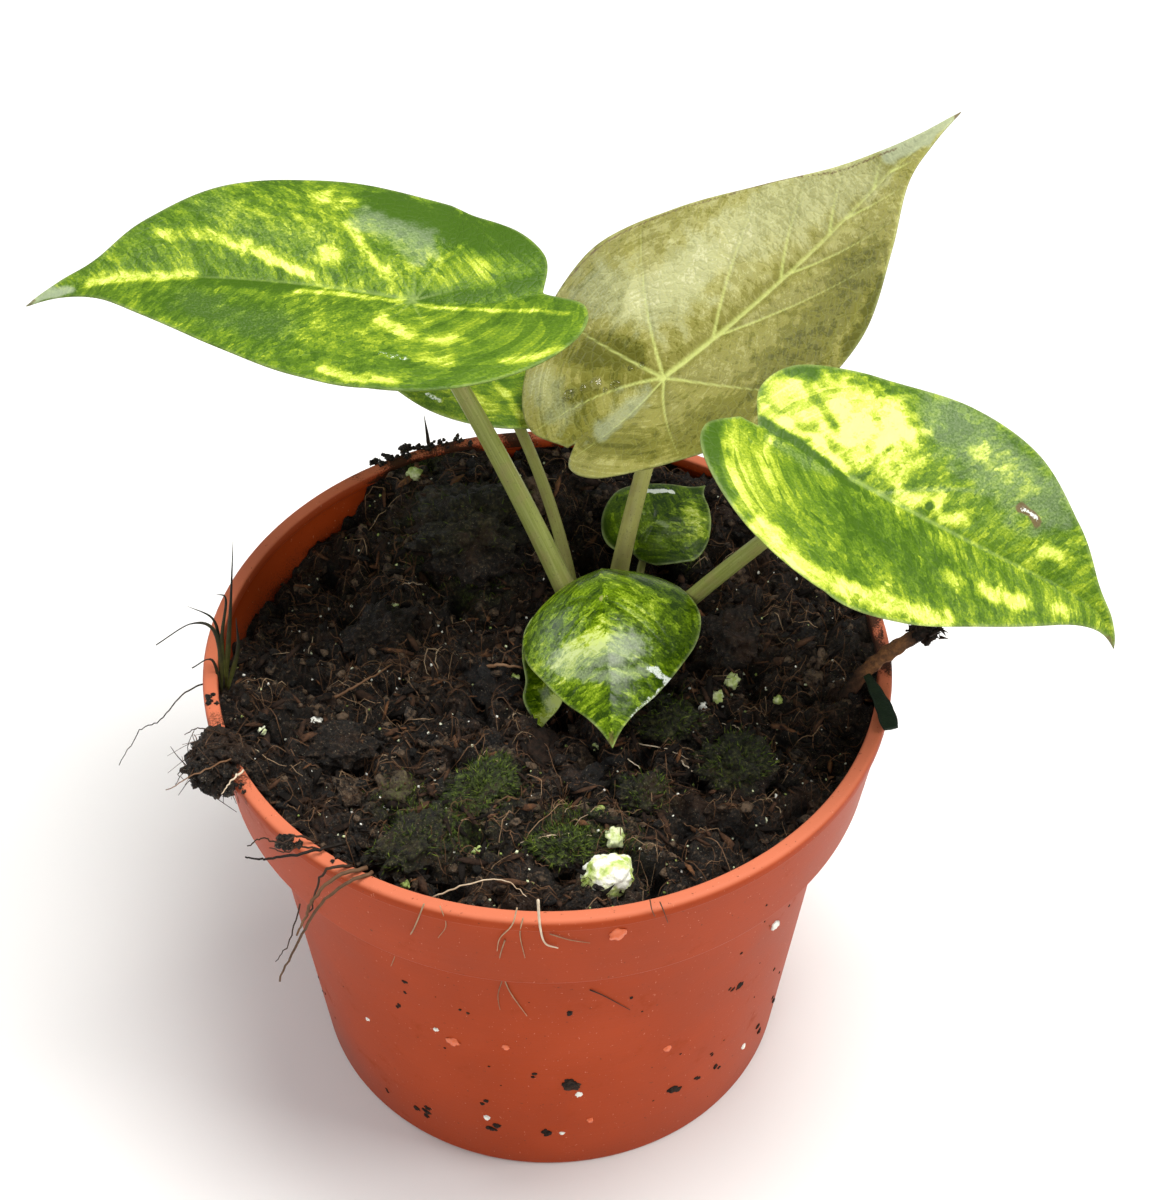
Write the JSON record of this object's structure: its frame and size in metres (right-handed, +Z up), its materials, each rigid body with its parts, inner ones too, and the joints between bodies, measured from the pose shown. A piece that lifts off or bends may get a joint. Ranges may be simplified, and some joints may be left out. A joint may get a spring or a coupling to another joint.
{
  "type": "potted alocasia",
  "caption": "Young potted alocasia: heart-shaped variegated leaves on slender petioles, in the dark soil of a tapered plastic grow pot with a collar.",
  "frame": {"origin": "middle of the pot's flat base, on its underside", "axes": "+Z up along the pot's axis; -Y towards the side that the small domed leaf faces, with the large left leaf at -X and the large right leaf at +X"},
  "size_m": [0.1805, 0.141, 0.1711],
  "materials": {
    "pot_plastic": "satin",
    "soil": "matte",
    "petiole": "satin",
    "leaf_green": "satin",
    "leaf_bronze": "satin",
    "perlite": "matte",
    "bark": "matte",
    "leaf_scrap": "matte"
  },
  "bodies": {
    "root": {"pot": "pot_plastic", "soil": "soil", "rim_clump": "soil", "bark_piece": "bark", "rim_stick": "bark", "leaf_strip": "leaf_scrap", "perlite_front": "perlite", "perlite_back": "perlite", "blade_left": "leaf_green", "blade_hidden": "leaf_green", "blade_back": "leaf_bronze", "blade_right": "leaf_green", "blade_round": "leaf_green", "blade_domed": "leaf_green", "blade_folded": "leaf_green", "petiole_left": "petiole", "petiole_hidden": "petiole", "petiole_back": "petiole", "petiole_right": "petiole", "petiole_round": "petiole", "petiole_domed": "petiole", "petiole_folded": "petiole"}
  },
  "joints": []
}
